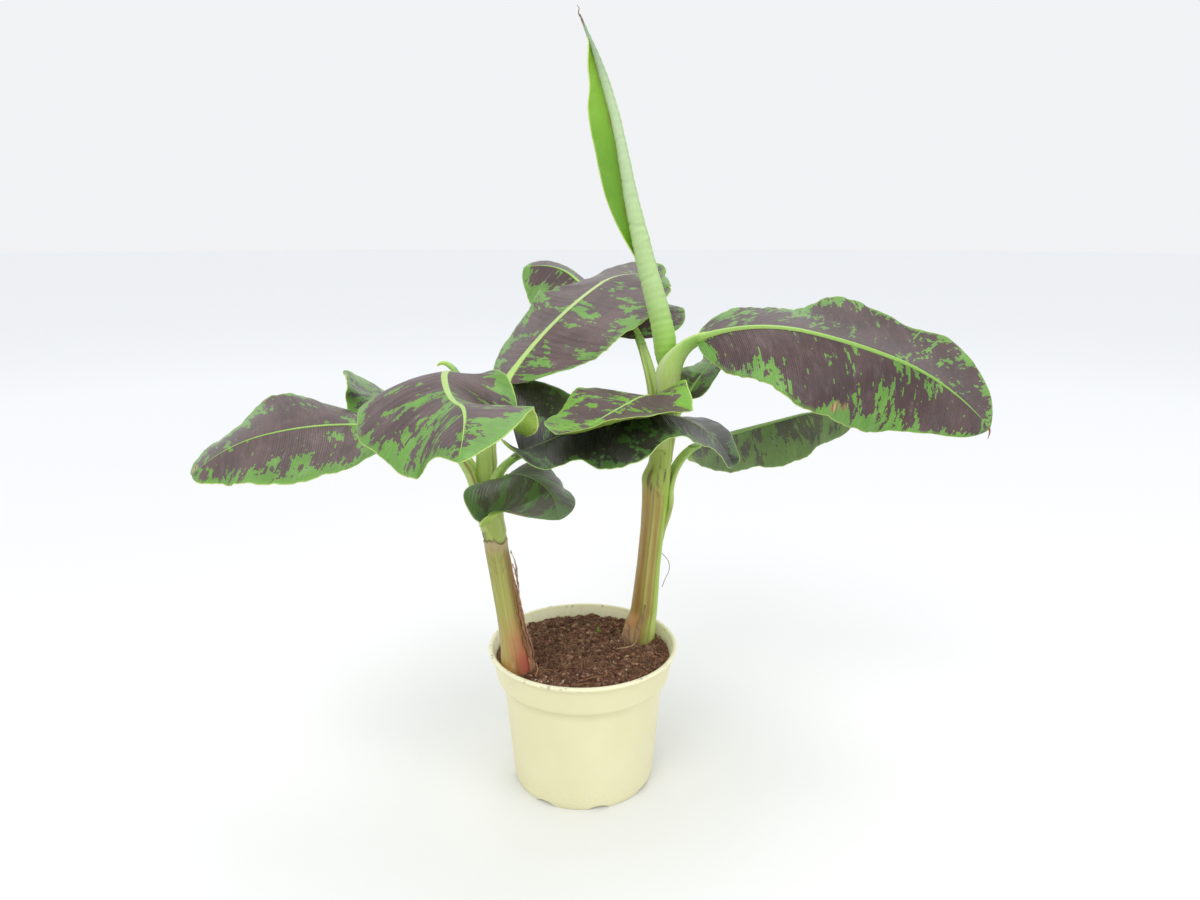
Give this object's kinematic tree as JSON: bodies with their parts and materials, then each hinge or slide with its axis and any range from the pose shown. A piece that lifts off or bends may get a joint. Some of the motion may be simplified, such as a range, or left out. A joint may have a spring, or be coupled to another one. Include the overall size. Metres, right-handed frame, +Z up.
{
  "type": "potted banana plant",
  "caption": "Young banana plant with blotched purple and green leaves and a tall rolled leaf, on leaning stems in a filled nursery pot.",
  "frame": {"origin": "centre of the pot's flat underside", "axes": "+Z up along the pot's axis, -Y to the front that the plant is seen from, +X to the right seen from the front"},
  "size_m": [0.7908, 0.5641, 0.8033],
  "materials": {
    "pot": "smooth cream plastic, low sheen",
    "soil": "damp peat with fibres",
    "stem": "waxy green sheath with tan and red parts",
    "stalk": "waxy light green",
    "leaf": "satin leaf, purple-brown blotches on green",
    "rolled": "waxy pale green",
    "dry_husk": "dry papery brown"
  },
  "bodies": {
    "root": {"pot": "pot", "soil": "soil", "pseudostem_left": "stem", "pseudostem_right": "stem", "dry_sheath": "dry_husk", "rolled_leaf": "rolled", "rolled_tip": "rolled", "stalk_left_outer": "stalk", "leaf_left_outer": "leaf", "stalk_left_front": "stalk", "leaf_left_front": "leaf", "stalk_left_back": "stalk", "leaf_left_back": "leaf", "stalk_left_low": "stalk", "leaf_left_low": "leaf", "stalk_left_top": "stalk", "leaf_left_top": "leaf", "stalk_middle_low": "stalk", "leaf_middle_low": "leaf", "stalk_right_outer": "stalk", "leaf_right_outer": "leaf", "stalk_right_low": "stalk", "leaf_right_low": "leaf", "stalk_right_front": "stalk", "leaf_right_front": "leaf", "stalk_back_top": "stalk", "leaf_back_top": "leaf", "stalk_right_back": "stalk", "leaf_right_back": "leaf"}
  },
  "joints": []
}
